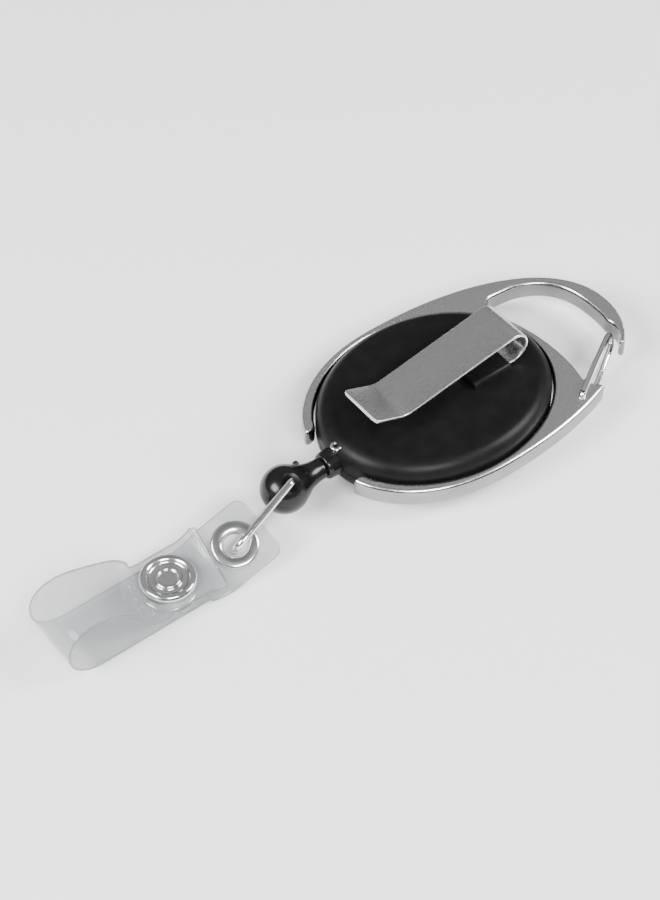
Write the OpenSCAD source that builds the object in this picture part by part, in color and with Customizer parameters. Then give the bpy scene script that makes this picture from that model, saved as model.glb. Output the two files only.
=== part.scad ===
// Retractable badge reel with a carabiner frame, a belt clip and a snap strap.
// The reel lies on its label face: +Z is up, -X is where the cord leaves,
// +X is the carabiner. The origin is the spool axis on the label face.

/* [Frame] */
// Width of the die-cast frame across the reel
frame_w = 42; // [40:0.5:46]
// Length of the frame ahead of its widest point, round the carabiner
frame_front = 41.3; // [41:0.1:44]
// Length of the frame behind its widest point, to the cord exit
frame_rear = 27.2; // [27:0.1:30]
// Thickness of the frame
frame_t = 4; // [3.6:0.1:4.2]
// Height of the frame's lower face above the label face
frame_z = 3.6; // [3.6:0.1:3.8]
// Half width of the open end, between the two prongs
prong_gap = 6.9; // [6.5:0.1:7.5]

/* [Case] */
// Half length of the oval case
case_a = 23.66; // [23.4:0.02:24]
// Half width of the oval case
case_b = 19.04; // [18.8:0.02:19.2]
// Height of the back face above the label face
case_top = 10.5; // [10.5:0.1:11]
// Wall thickness of the two covers
wall = 1.3; // [1.1:0.1:1.4]
// Radius of the label disc
label_r = 13; // [10:0.5:14]

/* [Cord] */
// Diameter of the cord
cord_d = 0.8; // [0.6:0.05:0.9]
// Outer radius of the cord wound on the spool
wound_r = 12.7; // [12:0.1:13]

/* [End fitting and bail] */
// Radius of the ball end of the teardrop fitting
ball_r = 4.55; // [4:0.05:4.55]
// Diameter of the bail's wire
bail_d = 1.3; // [1.1:0.05:1.3]
// Yaw of the bail at rest, in degrees
bail_yaw = 19.2; // [10:0.2:22]

/* [Strap] */
// Width of the vinyl strap
strap_w = 12.7; // [11:0.1:12.7]
// Thickness of the vinyl
strap_t = 0.5; // [0.3:0.05:0.5]
// Radius of the snap
snap_r = 5.2; // [4.5:0.1:5.2]
// Radius of the eyelet's hole
eyelet_bore = 2.1; // [2.05:0.05:2.3]

/* [Belt clip] */
// Width of the belt clip
clip_w = 9.6; // [8:0.2:10]
// Thickness of the spring steel
clip_t = 0.6; // [0.5:0.05:0.6]

/* [Hidden] */
$fn = 64;

// ---- heights shared by the frame and the case ----
frame_top = frame_z + frame_t;
axis_z = frame_z + frame_t / 2;
seam_t = 1;
seam_lo = axis_z - seam_t / 2;
seam_hi = axis_z + seam_t / 2;
oval_squash = case_b / case_a;

// ---- outlines as functions ----
function spow(v, n) = sign(v) * pow(abs(v), n);
// A closed superellipse with its own half length ahead of and behind its centre.
function egg(rear, front, half, n, cx, count = 120) = [
    for (i = [0:count - 1])
        let (t = 360 * i / count, c = cos(t), a = c > 0 ? front : rear)
            [cx + a * spow(c, 2 / n), half * spow(sin(t), 2 / n)]
];
function ellipse(a, b, count = 120) = [
    for (i = [0:count - 1]) [a * cos(360 * i / count), b * sin(360 * i / count)]
];
function arc(cx, cy, r, from, to, steps) = [
    for (i = [0:steps])
        let (t = from + (to - from) * i / steps) [cx + r * cos(t), cy + r * sin(t)]
];
function unit(v) = v / norm(v);
function left_of(v) = [-v[1], v[0]];
// The direction of a path at point i, from its neighbours.
function along(p, i) = unit(p[min(i + 1, len(p) - 1)] - p[max(i - 1, 0)]);
// A strip of thickness t on both sides of an open path.
function strip(p, t) = concat(
    [for (i = [0:len(p) - 1]) p[i] + left_of(along(p, i)) * t / 2],
    [for (i = [len(p) - 1:-1:0]) p[i] - left_of(along(p, i)) * t / 2]
);

module bar(points, z0, z1) {
    translate([0, 0, z0])
        linear_extrude(z1 - z0)
            polygon(points);
}

// A bent wire along a path that stays close to the X-Z plane.
function across_of(p, i) =
    let (h = along(p, i), s = unit([0, 1, 0] - h * h[1])) s;
function wire_ring(p, i, r, sides) =
    let (s = across_of(p, i), u = cross(along(p, i), s))
        [for (k = [0:sides - 1]) p[i] + r * (s * cos(360 * k / sides) + u * sin(360 * k / sides))];
// Skins one ring of corners onto the next along the length of a tube.
module skin(points, rings, sides) {
    polyhedron(
        points = points,
        faces = concat(
            [[for (k = [0:sides - 1]) k]],
            [for (i = [0:rings - 2], k = [0:sides - 1])
                let (a = i * sides, b = a + sides, m = (k + 1) % sides)
                    [a + k, b + k, b + m]],
            [for (i = [0:rings - 2], k = [0:sides - 1])
                let (a = i * sides, b = a + sides, m = (k + 1) % sides)
                    [a + k, b + m, a + m]],
            [[for (k = [sides - 1:-1:0]) (rings - 1) * sides + k]]
        )
    );
}
module wire(path, d, sides = 12) {
    skin([for (i = [0:len(path) - 1]) each wire_ring(path, i, d / 2, sides)], len(path), sides);
}
// Points of a bend in the X-Z plane between two angles.
function bend(x, y, z, r, from, to, steps) = [
    for (i = [0:steps])
        let (t = from + (to - from) * i / steps) [x + r * cos(t), y, z + r * sin(t)]
];

// A profile in the X-Z plane given a width along Y.
module across(points, y0, y1) {
    translate([0, y1, 0])
        rotate([90, 0, 0])
            linear_extrude(y1 - y0)
                polygon(points);
}

// ---- frame ----
frame_cx = 1.4;
frame_n = 2.17;
seat_gap = 0.25;
web_r = 34;
web_tip = [26, -5];
corner_c = [25.4, 11.1];
corner_r = 2.4;
hook_c = 22;
hook_a = 17.1;
hook_b = 13.7;
hook_n = 2.6;
gate_pivot = [21.4, -16.8];
gate_d = 1.3;
pivot_r = 0.75;

function web_x(y) = web_tip[0] - (web_r - sqrt(web_r * web_r - pow(y - web_tip[1], 2)));
function hook_pt(t) = [
    hook_c + hook_a * spow(cos(t), 2 / hook_n),
    hook_b * spow(sin(t), 2 / hook_n)
];
// The space inside the carabiner, out through the gap that the gate closes.
opening = concat(
    [for (y = [-14:2:8]) [web_x(y), y]],
    arc(corner_c[0], corner_c[1], corner_r, 195, 100, 8),
    [for (t = [68:-6:-14]) hook_pt(t)],
    [[39.1, -6.1], [38.7, -8.2], [38.0, -9.4], [36.5, -10.3], [37, -11.2], [38.2, -13], [44, -24]],
    [[30, -24], [27.1, -17.4], [25.4, -14.7]]
);

module frame() {
    color("silver")
        difference() {
            union() {
                difference() {
                    bar(egg(frame_rear, frame_front, frame_w / 2, frame_n, frame_cx), frame_z, frame_top);
                    bar(ellipse(case_a + seat_gap, case_b + seat_gap), frame_z - 1, frame_top + 1);
                }
                difference() {
                    bar(ellipse(case_a + seat_gap + 0.3, case_b + seat_gap + 0.3), seam_lo, seam_hi);
                    bar(ellipse(case_a - 1.2, case_b - 1.2), seam_lo - 1, seam_hi + 1);
                }
            }
            bar(opening, frame_z - 1, frame_top + 1);
            translate([-40, -prong_gap, frame_z - 1])
                cube([25, 2 * prong_gap, frame_t + 2]);
            translate([gate_pivot[0], gate_pivot[1], frame_z - 1])
                cylinder(r = pivot_r, h = frame_t + 2);
        }
}

// ---- wire gate: one bent wire, its two ends turned into the pivot hole ----
gate_over = gate_d / 2 + 0.05;
gate_angle = 32;
gate_reach = 18.4;
gate_bend = 0.9;
gate_hi = frame_top + gate_over;
gate_lo = frame_z - gate_over;
stub_l = 0.7;
skin_in = 0.02;
tip_r = 1.05;
gate_path = concat(
    [[0, 0, gate_hi - gate_bend - 0.4], [0, 0, gate_hi - gate_bend - 0.15]],
    bend(gate_bend, 0, gate_hi - gate_bend, gate_bend, 168, 90, 4),
    [[7.5, 0, gate_hi], [9, -0.02, gate_hi - 0.14]],
    bend(gate_reach - tip_r, -0.2, axis_z, tip_r, 78, 26, 3),
    bend(gate_reach - tip_r, -0.7, axis_z, tip_r, -26, -78, 3),
    [[10, -0.9, gate_lo + 0.14], [8.4, -0.85, gate_lo], [3.5, -0.4, gate_lo]],
    bend(gate_bend, 0, gate_lo + gate_bend, gate_bend, -90, -168, 4),
    [[0, 0, gate_lo + gate_bend + 0.15], [0, 0, gate_lo + gate_bend + 0.4]]
);

module gate_wire() {
    color("silver")
        translate([gate_pivot[0], gate_pivot[1], 0]) {
            rotate([0, 0, gate_angle])
                wire(gate_path, gate_d - 2 * skin_in);
            for (z = [gate_hi - gate_bend - stub_l, gate_lo + gate_bend])
                translate([0, 0, z])
                    cylinder(d = gate_d, h = stub_l);
        }
}

// ---- case ----
back_round = 3.7;
front_run = 6.5;
rim = 1.5;
nozzle_r = 2.7;
nozzle_fit = 0.05;
pocket_x0 = 3;
pocket_x1 = 13.6;
pocket_top = case_top + 1.5;
leg_lo = case_top + 0.4;
peg_x = 7;
peg_r = 1;
post_r = 2;
floor_z = 1.7;
ceiling = case_top - wall;

module oval_turn(profile) {
    scale([1, oval_squash, 1])
        rotate_extrude($fn = 96)
            polygon(profile);
}

module nozzle_hole() {
    translate([-40, 0, axis_z])
        rotate([0, 90, 0])
            cylinder(r = nozzle_r + nozzle_fit, h = 30);
}

back_outer = concat(
    [[0, seam_hi], [case_a, seam_hi]],
    arc(case_a - back_round, case_top - back_round, back_round, 0, 90, 8),
    [[0, case_top]]
);
back_inner = concat(
    [[0, seam_hi - 1], [case_a - rim, seam_hi - 1]],
    arc(case_a - back_round, case_top - back_round, back_round - wall, 0, 90, 6),
    [[0, ceiling]]
);

module back_cover() {
    color([0.07, 0.07, 0.07])
        difference() {
            union() {
                difference() {
                    oval_turn(back_outer);
                    oval_turn(back_inner);
                }
                translate([pocket_x0, 0, 0])
                    rotate([90, 0, 90])
                        linear_extrude(pocket_x1 - pocket_x0)
                            polygon([
                                [-5.9, case_top - 0.2], [5.9, case_top - 0.2],
                                [5.4, pocket_top], [-5.4, pocket_top]
                            ]);
            }
            translate([pocket_x0 + 0.8, -clip_w / 2 - 0.1, leg_lo - 0.05])
                cube([20, clip_w + 0.2, clip_t + 0.1]);
            nozzle_hole();
            translate([rivet_x, 0, seam_hi])
                cylinder(r = rivet_r, h = 10);
            translate([rivet_x, 0, rivet_seat])
                cylinder(r = rivet_head_r + 0.05, h = 5);
        }
    color([0.07, 0.07, 0.07])
        translate([peg_x, 0, leg_lo - 0.05])
            cylinder(r = peg_r, h = clip_t + 0.1);
}

label_t = 0.5;
bowl_top = frame_z + 0.4;
// [half length, height] of each ring of the front cover's outside and of its hollow
front_outer = concat(
    [for (t = [-90:11.25:0])
        [case_a - front_run + front_run * cos(t), bowl_top + bowl_top * sin(t)]],
    [[case_a, seam_lo]]
);
front_inner = concat(
    [for (t = [-90:15:0])
        [case_a - front_run + (front_run - rim) * cos(t), bowl_top + (bowl_top - floor_z) * sin(t)]],
    [[case_a - rim, seam_lo + 1]]
);

// A solid of oval rings, one on top of the other.
module oval_rings(rings, sides = 80) {
    skin([
        for (r = rings, k = [0:sides - 1])
            [r[0] * cos(360 * k / sides), r[0] * oval_squash * sin(360 * k / sides), r[1]]
    ], len(rings), sides);
}

module front_cover() {
    color([0.07, 0.07, 0.07])
        difference() {
            oval_rings(front_outer);
            oval_rings(front_inner);
            translate([0, 0, -1])
                cylinder(r = label_r, h = 1 + label_t, $fn = 96);
            nozzle_hole();
        }
}

module label_disc() {
    color("white")
        cylinder(r = label_r - 0.05, h = label_t, $fn = 96);
}

// ---- cord exit ----
nozzle_x = -26;
cord_bore = 0.55;
wing = 19.5;
wing_in = 0.06;
rivet_x = -22.9;
rivet_r = 0.8;
rivet_head_r = 1.1;
rivet_seat = axis_z + 3.4;

module cord_nozzle() {
    color([0.05, 0.05, 0.05])
        difference() {
            union() {
                translate([nozzle_x, 0, axis_z])
                    rotate([0, 90, 0])
                        cylinder(r = nozzle_r, h = 5.2);
                intersection() {
                    translate([-21.4, 0, axis_z])
                        rotate([0, 90, 0])
                            cylinder(r = 3.4, h = 0.8);
                    translate([-22, -4, axis_z - 2.4])
                        cube([2, 8, 4.8]);
                }
                // the two wings that close the seam between the prongs
                bar(concat(
                    [for (t = [wing:-1.5:-wing]) [-(case_a - wing_in) * cos(t), (case_b - wing_in) * sin(t)]],
                    [for (t = [-wing:1.5:wing]) [-(case_a - rim) * cos(t), (case_b - rim) * sin(t)]]
                ), seam_lo, seam_hi);
            }
            translate([nozzle_x - 1, 0, axis_z])
                rotate([0, 90, 0])
                    cylinder(r = cord_bore, h = 8);
            // the inner mouth is flared towards the spool
            translate([-22.4, 0, axis_z])
                rotate([0, 90, 0])
                    cylinder(r1 = cord_bore, r2 = 1.9, h = 1.8);
            translate([rivet_x, 0, axis_z + 1.2])
                cylinder(r = rivet_r, h = 6);
        }
}

module nozzle_rivet() {
    color("silver")
        difference() {
            union() {
                translate([rivet_x, 0, axis_z + 1.2])
                    cylinder(r = rivet_r, h = 2.4);
                translate([rivet_x, 0, rivet_seat])
                    cylinder(r = rivet_head_r, h = 0.5);
            }
            translate([rivet_x, 0, axis_z + 1.6])
                cylinder(r = 0.45, h = 6);
        }
}

// ---- spool, its post and its spring ----
spool_r = 15.2;
drum_r = 11;
drum_in = 10.2;
spool_lo = floor_z + 0.5;
disc_t = 0.8;
spool_hi = ceiling - 1;
cap_t = 0.45;
run_fit = 0.05;
spring_t = 0.12;
spring_turns = 9;
spring_r0 = post_r + 0.3;
spring_r1 = drum_in - 0.15;

module centre_post() {
    color("lightgray")
        difference() {
            union() {
                translate([0, 0, floor_z])
                    cylinder(r = post_r, h = ceiling - floor_z);
                translate([0, 0, floor_z])
                    cylinder(r = 3.2, h = spool_lo - floor_z - 0.1);
                translate([0, 0, spool_hi + cap_t + 0.15])
                    cylinder(r = 3.2, h = ceiling - spool_hi - cap_t - 0.15);
            }
            // the slot that holds the inner end of the spring
            translate([-0.25, -post_r - 1, spool_lo + disc_t])
                cube([0.5, post_r + 1.6, spool_hi - spool_lo - disc_t]);
        }
}

module spool() {
    color("ivory")
        rotate_extrude($fn = 96)
            polygon([
                [post_r + run_fit, spool_lo], [spool_r, spool_lo],
                [spool_r, spool_lo + disc_t], [drum_r, spool_lo + disc_t],
                [drum_r, spool_hi - disc_t], [spool_r, spool_hi - disc_t],
                [spool_r, spool_hi], [drum_in, spool_hi],
                [drum_in, spool_lo + disc_t], [post_r + run_fit, spool_lo + disc_t]
            ]);
}

module spool_cap() {
    color("lightgray")
        difference() {
            translate([0, 0, spool_hi])
                cylinder(r = drum_r + 0.6, h = cap_t, $fn = 96);
            translate([0, 0, spool_hi - 1])
                cylinder(r = post_r + run_fit, h = 3);
        }
}

spring_path = [
    for (i = [0:spring_turns * 24])
        let (t = -90 + 15 * i, r = spring_r0 + (spring_r1 - spring_r0) * i / (spring_turns * 24))
            [r * cos(t), r * sin(t)]
];

module mainspring() {
    color("gray")
        union() {
            bar(strip(spring_path, spring_t), spool_lo + disc_t + 0.2, spool_hi - 0.2);
            translate([-spring_t / 2, -spring_r0, spool_lo + disc_t + 0.2])
                cube([spring_t, spring_r0 - 0.2, spool_hi - spool_lo - disc_t - 0.4]);
        }
}

module cord_winding() {
    color("black")
        rotate_extrude($fn = 96)
            polygon([
                [drum_r, spool_lo + disc_t + 0.1], [wound_r - 0.3, spool_lo + disc_t + 0.1],
                [wound_r, spool_lo + disc_t + 0.5], [wound_r, spool_hi - disc_t - 0.5],
                [wound_r - 0.3, spool_hi - disc_t - 0.1], [drum_r, spool_hi - disc_t - 0.1]
            ]);
}

// ---- the cord between the spool and the teardrop ----
tail_x = -26.2;
knot_x = -32.6;
lead_route = [
    [-7.9, 10.6], [-10, 9], [-12, 7.5], [-14, 6], [-16, 4.5], [-18, 3], [-19.6, 1.8],
    [-21, 0.7], [-22.2, 0.08], [-23.8, 0], [-25, 0], [tail_x, 0]
];
tail_route = [[tail_x, 0], [-28, 0], [-30, 0], [knot_x + 0.9, 0]];

function ring(p, dir, r, sides) = [
    for (k = [0:sides - 1])
        let (a = 360 * k / sides)
            [p[0] - dir[1] * r * cos(a), p[1] + dir[0] * r * cos(a), axis_z + r * sin(a)]
];
// A tube of round section along a route that stays at the height of the cord exit.
module flat_tube(route, d, sides = 8) {
    skin([
        for (i = [0:len(route) - 1])
            each ring(route[i], along(route, i), d / 2, sides)
    ], len(route), sides);
}

module cord_lead() {
    color("black")
        flat_tube(lead_route, cord_d);
}

module cord_tail() {
    color("black")
        flat_tube(tail_route, cord_d);
}

module cord_knot() {
    color("black")
        translate([knot_x, 0, axis_z])
            sphere(r = 0.9, $fn = 48);
}

// ---- teardrop end fitting ----
ball_x = -34.5;
hole_tilt = 28;
wire_fit = 0.1;
teardrop = concat(
    [for (t = [180:-10:60]) [ball_r * cos(t), ball_r * sin(t)]],
    [[3.4, 3.25], [4.6, 2.65], [5.8, 2.25], [7, 2.05], [-26.15 - ball_x, 2], [-26.15 - ball_x, 0]]
);

module at_ball() {
    translate([ball_x, 0, axis_z])
        rotate([hole_tilt, 0, 0])
            children();
}

module end_fitting() {
    color([0.03, 0.03, 0.03])
        difference() {
            union() {
                translate([ball_x, 0, axis_z])
                    rotate([0, 90, 0])
                        rotate_extrude($fn = 64)
                            polygon([for (p = teardrop) [p[1], p[0]]]);
                translate([-30.4, 2.2, axis_z + 1.9])
                    sphere(r = 0.65, $fn = 32);
            }
            // cord bore, opening into the chamber of the knot
            translate([-35, 0, axis_z])
                rotate([0, 90, 0])
                    cylinder(r = cord_bore, h = 12);
            translate([ball_x, 0, axis_z])
                rotate([0, 90, 0])
                    cylinder(r = 1.3, h = 3);
            // cross hole of the bail, countersunk at both ends
            at_ball() {
                translate([0, 0, -8])
                    cylinder(r = bail_d / 2 + wire_fit, h = 16);
                for (side = [0, 180])
                    rotate([side, 0, 0])
                        translate([0, 0, ball_r - 1.1])
                            cylinder(r1 = 0.9, r2 = 2.4, h = 1.5);
            }
        }
}

// ---- bail: a bent wire, its ends turned into the cross hole ----
bail_l = 15.25;
bail_half = 5.5;
bend_r = 2.8;

bail_turn = 1.1;
bail_path = concat(
    [[0, 0, bail_half - bail_turn - 0.5]],
    bend(-bail_turn, 0, bail_half - bail_turn, bail_turn, 0, 75, 4),
    bend(-(bail_l - bend_r), 0, 0, bend_r, 105, 255, 8),
    bend(-bail_turn, 0, bail_turn - bail_half, bail_turn, -75, 0, 4),
    [[0, 0, bail_turn - bail_half + 0.5]]
);

module bail() {
    color("silver")
        at_ball()
            rotate([0, 0, bail_yaw]) {
                wire(bail_path, bail_d - 2 * skin_in);
                for (side = [0, 180])
                    rotate([side, 0, 0])
                        translate([0, 0, 1.9])
                            cylinder(d = bail_d, h = bail_half - bail_turn - 1.9);
            }
}

// ---- strap: one ribbon of vinyl, folded over, split at the fold ----
strap_y = -3;
snap_x = -61.9;
base_z = 0.9 + strap_t / 2;
flap_z = 3.2 + strap_t / 2;
eye = [-48.3, -3.9, 3.95];
eye_roll = 22;
eye_pitch = 16;
eye_step = [cos(eye_pitch), 0, sin(eye_pitch)];

module at_eye() {
    translate(eye)
        rotate([eye_roll, -eye_pitch, 0])
            children();
}

// Each point of a ribbon is [x, y, z, roll in degrees] on its middle line.
base_route = concat(
    [
        [-85.65, strap_y, 7, 0], [-85.5, strap_y, 5.4, 0], [-84.8, strap_y, 3.8, 0],
        [-83.4, strap_y, 2.4, 0], [-81.6, strap_y, 1.5, 0], [-79.4, strap_y, base_z, 0],
        [-77, strap_y, base_z, 0], [-58, strap_y, base_z, 0], [-56.8, strap_y, base_z, 0],
        [-55.6, -3.3, 1.5, 7], [-54.4, -3.6, 2.05, 14]
    ],
    [for (s = [-5.4, -4.6, 0, 6.1])
        [eye[0] + s * eye_step[0], eye[1], eye[2] + s * eye_step[2], eye_roll]]
);
flap_route = [
    [-85.65, strap_y, 7.3, 0], [-85.4, strap_y, 9, 0], [-84.4, strap_y, 10.9, 0],
    [-82.6, strap_y, 12.1, 0], [-80, strap_y, 12.3, 0], [-77.4, strap_y, 11.7, 0],
    [-74.6, strap_y, 10.5, 0], [-72, strap_y, 8.9, 0], [-70, strap_y, 7, 0],
    [-68.7, strap_y, 5, 0], [-68, strap_y, 4, 0], [-67.3, strap_y, flap_z, 0],
    [-58, strap_y, flap_z, 0], [-56.2, strap_y, flap_z, 0], [-54.8, -3.2, 3.8, 7], [-53.3, -3.6, 4.6, 16]
];

function place(r) = [r[0], r[1], r[2]];
function heading(route, i) =
    unit(place(route[min(i + 1, len(route) - 1)]) - place(route[max(i - 1, 0)]));
// Sideways and upward directions of the ribbon at point i, after its roll.
function side(route, i) =
    let (h = heading(route, i), s = unit(cross([-h[2], 0, h[0]], h)), u = cross(h, s), a = route[i][3])
        s * cos(a) + u * sin(a);
function corner(route, i, w, t) =
    let (s = side(route, i), u = cross(heading(route, i), s), p = place(route[i]))
        [p + s * w + u * t, p - s * w + u * t, p - s * w - u * t, p + s * w - u * t];

module ribbon(route, width, thick) {
    skin([for (i = [0:len(route) - 1]) each corner(route, i, width / 2, thick / 2)], len(route), 4);
}

barrel_r = eyelet_bore + 0.45;
// Half the space between the eyelet's flange and its washer.
grip = strap_t / 2 + 0.04;
flange_r = 4.3;
flange_t = 0.45;

module strap_base() {
    color([0.85, 0.88, 0.9, 0.5])
        difference() {
            ribbon(base_route, strap_w, strap_t);
            translate([snap_x, strap_y, -1])
                cylinder(r = 1.5, h = 3);
            at_eye()
                translate([0, 0, -1])
                    cylinder(r = barrel_r + 0.05, h = 2);
        }
}

module strap_flap() {
    color([0.85, 0.88, 0.9, 0.5])
        difference() {
            ribbon(flap_route, strap_w, strap_t);
            translate([snap_x, strap_y, 2])
                cylinder(r = 2.9, h = 3);
        }
}

module strap_eyelet() {
    color("silver")
        at_eye()
            rotate_extrude()
                polygon([
                    [eyelet_bore, -grip - flange_t - 0.25], [eyelet_bore + 0.3, -grip - flange_t - 0.35],
                    [3.1, -grip - flange_t - 0.25], [3.1, -grip - flange_t],
                    [barrel_r, -grip - flange_t], [barrel_r, grip],
                    [flange_r, grip], [flange_r, grip + 0.25],
                    [flange_r - 0.5, grip + 0.55], [barrel_r, grip + 0.6],
                    [eyelet_bore, grip + 0.3]
                ]);
}

module eyelet_washer() {
    color("silver")
        at_eye()
            translate([0, 0, -grip - flange_t])
                difference() {
                    cylinder(r = flange_r, h = flange_t);
                    translate([0, 0, -1])
                        cylinder(r = barrel_r + 0.05, h = 2);
                }
}

// ---- snap: post and stud on the lower layer, cap and socket on the flap ----
base_lo = base_z - strap_t / 2;
base_hi = base_z + strap_t / 2;
flap_lo = flap_z - strap_t / 2;
flap_hi = flap_z + strap_t / 2;
stud_top = flap_lo - 0.1;

module at_snap() {
    translate([snap_x, strap_y, 0])
        children();
}

module snap_post() {
    color("silver")
        at_snap()
            rotate_extrude()
                polygon([
                    [0, 0], [snap_r - 1.4, 0], [snap_r - 0.3, 0.3], [snap_r, 0.7],
                    [snap_r - 0.1, base_lo], [1.4, base_lo], [1.4, base_hi], [0, base_hi]
                ]);
}

module snap_stud() {
    color("silver")
        at_snap()
            rotate_extrude()
                polygon([
                    [0, base_hi], [snap_r - 0.2, base_hi], [snap_r, base_hi + 0.25],
                    [snap_r - 0.2, base_hi + 0.5], [snap_r - 0.8, base_hi + 0.6], [1.7, base_hi + 0.6],
                    [1.75, base_hi + 0.9], [1.9, base_hi + 1.2], [1.9, stud_top - 0.3],
                    [1.6, stud_top], [0, stud_top]
                ]);
}

module snap_socket() {
    color("silver")
        at_snap()
            rotate_extrude()
                polygon([
                    [2.1, base_hi + 0.9], [snap_r - 0.6, base_hi + 0.9], [snap_r - 0.2, base_hi + 1.2],
                    [snap_r - 0.2, flap_lo], [2.1, flap_lo]
                ]);
}

module snap_cap() {
    color("silver")
        at_snap()
            rotate_extrude()
                polygon([
                    [2.1, flap_lo], [2.8, flap_lo], [2.8, flap_hi], [snap_r - 0.1, flap_hi],
                    [snap_r, flap_hi + 0.45], [snap_r - 0.2, flap_hi + 0.95],
                    [snap_r - 0.7, flap_hi + 1.2], [snap_r - 1.2, flap_hi + 1],
                    [snap_r - 1.7, flap_hi + 0.4], [2.6, flap_hi + 0.4], [2.2, flap_hi + 0.85],
                    [1.8, flap_hi + 0.85], [1.6, flap_hi + 0.6], [0, flap_hi + 0.6],
                    [0, flap_lo + 0.3], [2.1, flap_lo + 0.3]
                ]);
}

// ---- belt clip: one bent strip of spring steel, split where it flexes ----
bend_out = 3.45;
bend_c = [14.6, leg_lo + bend_out];
bend_mid = bend_out - clip_t / 2;
arm_slope = 10;
arm_l = 25;
lip_rise = 23;
lip_l = 7.6;
seam_angle = 1;

leg_path = concat(
    [[pocket_x0 + 1, leg_lo + clip_t / 2]],
    arc(bend_c[0], bend_c[1], bend_mid, -90, -seam_angle, 8)
);
arm_start = bend_c + bend_mid * [cos(90 + arm_slope), sin(90 + arm_slope)];
kink = arm_start - arm_l * [cos(arm_slope), sin(arm_slope)];
arm_path = concat(
    arc(bend_c[0], bend_c[1], bend_mid, seam_angle, 90 + arm_slope, 9),
    [
        kink + 0.8 * [cos(arm_slope), sin(arm_slope)],
        kink + [0, 0.08],
        kink + 0.8 * [-cos(lip_rise), sin(lip_rise)],
        kink + lip_l * [-cos(lip_rise), sin(lip_rise)]
    ]
);

module clip_base() {
    color("lightgray")
        difference() {
            across(strip(leg_path, clip_t), -clip_w / 2, clip_w / 2);
            translate([peg_x, 0, leg_lo - 1])
                cylinder(r = peg_r + 0.05, h = 3);
        }
}

module clip_arm() {
    color("lightgray")
        across(strip(arm_path, clip_t), -clip_w / 2, clip_w / 2);
}

frame();
back_cover();
front_cover();
label_disc();
cord_nozzle();
nozzle_rivet();
centre_post();
mainspring();
cord_lead();
clip_base();
clip_arm();
gate_wire();
spool();
spool_cap();
cord_winding();
end_fitting();
cord_tail();
cord_knot();
bail();
strap_base();
strap_eyelet();
eyelet_washer();
snap_post();
snap_stud();
strap_flap();
snap_cap();
snap_socket();
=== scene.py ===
"""Looks of a retractable badge reel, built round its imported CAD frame. Lengths are in mm until mesh()."""
from math import asin, cos, degrees, pi, radians, sin, sqrt

import bmesh
import bpy
from mathutils import Matrix, Vector
from mathutils.geometry import tessellate_polygon


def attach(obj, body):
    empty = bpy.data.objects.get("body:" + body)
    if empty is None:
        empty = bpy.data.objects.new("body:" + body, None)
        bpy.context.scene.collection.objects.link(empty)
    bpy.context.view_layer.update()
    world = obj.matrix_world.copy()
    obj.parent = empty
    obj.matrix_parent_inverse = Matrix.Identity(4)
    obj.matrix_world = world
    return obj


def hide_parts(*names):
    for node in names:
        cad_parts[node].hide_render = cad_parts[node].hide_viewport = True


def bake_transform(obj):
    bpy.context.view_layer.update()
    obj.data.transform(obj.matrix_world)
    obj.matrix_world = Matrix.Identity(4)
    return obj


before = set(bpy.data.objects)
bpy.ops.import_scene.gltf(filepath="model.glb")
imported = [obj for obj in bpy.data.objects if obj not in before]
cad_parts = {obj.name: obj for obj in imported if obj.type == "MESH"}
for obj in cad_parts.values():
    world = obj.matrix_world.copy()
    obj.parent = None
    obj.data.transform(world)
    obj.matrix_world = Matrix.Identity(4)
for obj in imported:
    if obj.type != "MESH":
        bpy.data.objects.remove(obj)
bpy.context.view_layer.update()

MM = 0.001

# ---------------------------------------------------------------- camera
CAMERA_AT = (-172.218, -194.042, 289.396)
CAMERA_RIGHT = (0.79528, -0.60625, 0.0)
CAMERA_UP = (0.45725, 0.59982, 0.65662)
CAMERA_BACK = (-0.39807, -0.52219, 0.75423)
SENSOR = 36
LENS = 82.75

# ---------------------------------------------------------------- dimensions shared with the CAD
FRAME_Z, FRAME_T = 3.6, 4.0
FRAME_TOP = FRAME_Z + FRAME_T
AXIS_Z = FRAME_Z + FRAME_T / 2
CASE_A, CASE_B, CASE_TOP = 23.66, 19.04, 10.5
PRONG_GAP = 6.9
GATE_PIVOT = (21.4, -16.8)
BALL_X, BALL_R = -34.5, 4.55
HOLE_TILT = radians(28)
BAIL_YAW = radians(19.2)
STRAP_W, STRAP_T, STRAP_Y = 12.7, 0.5, -3.0
SNAP_X, SNAP_R = -61.9, 5.2
BASE_Z, FLAP_Z = 1.15, 3.45
EYE = Vector((-48.3, -3.9, 3.95))
EYE_ROLL, EYE_PITCH = radians(22), radians(16)
EYE_TURN = Matrix.Rotation(-EYE_PITCH, 4, "Y") @ Matrix.Rotation(EYE_ROLL, 4, "X")
CLIP_T, CLIP_W = 0.6, 9.6
LEG_Z = CASE_TOP + 0.4 + CLIP_T / 2
BEND_R = 3.15
BEND_C = (14.6, 14.35)


# ---------------------------------------------------------------- materials
BUMP_DEPTH = 0.00002


def nodes_of(name):
    mat = bpy.data.materials.new(name)
    mat.use_nodes = True
    tree = mat.node_tree
    return mat, tree, tree.nodes["Principled BSDF"]


def noise(tree, scale, stretch=(1, 1, 1), detail=4.0):
    """A noise texture in object space. scale is cycles per metre."""
    where = tree.nodes.new("ShaderNodeTexCoord")
    mapping = tree.nodes.new("ShaderNodeMapping")
    mapping.inputs["Scale"].default_value = stretch
    tex = tree.nodes.new("ShaderNodeTexNoise")
    tex.inputs["Scale"].default_value = scale
    tex.inputs["Detail"].default_value = detail
    tree.links.new(where.outputs["Object"], mapping.inputs["Vector"])
    tree.links.new(mapping.outputs["Vector"], tex.inputs["Vector"])
    return tex.outputs["Fac"]


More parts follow.
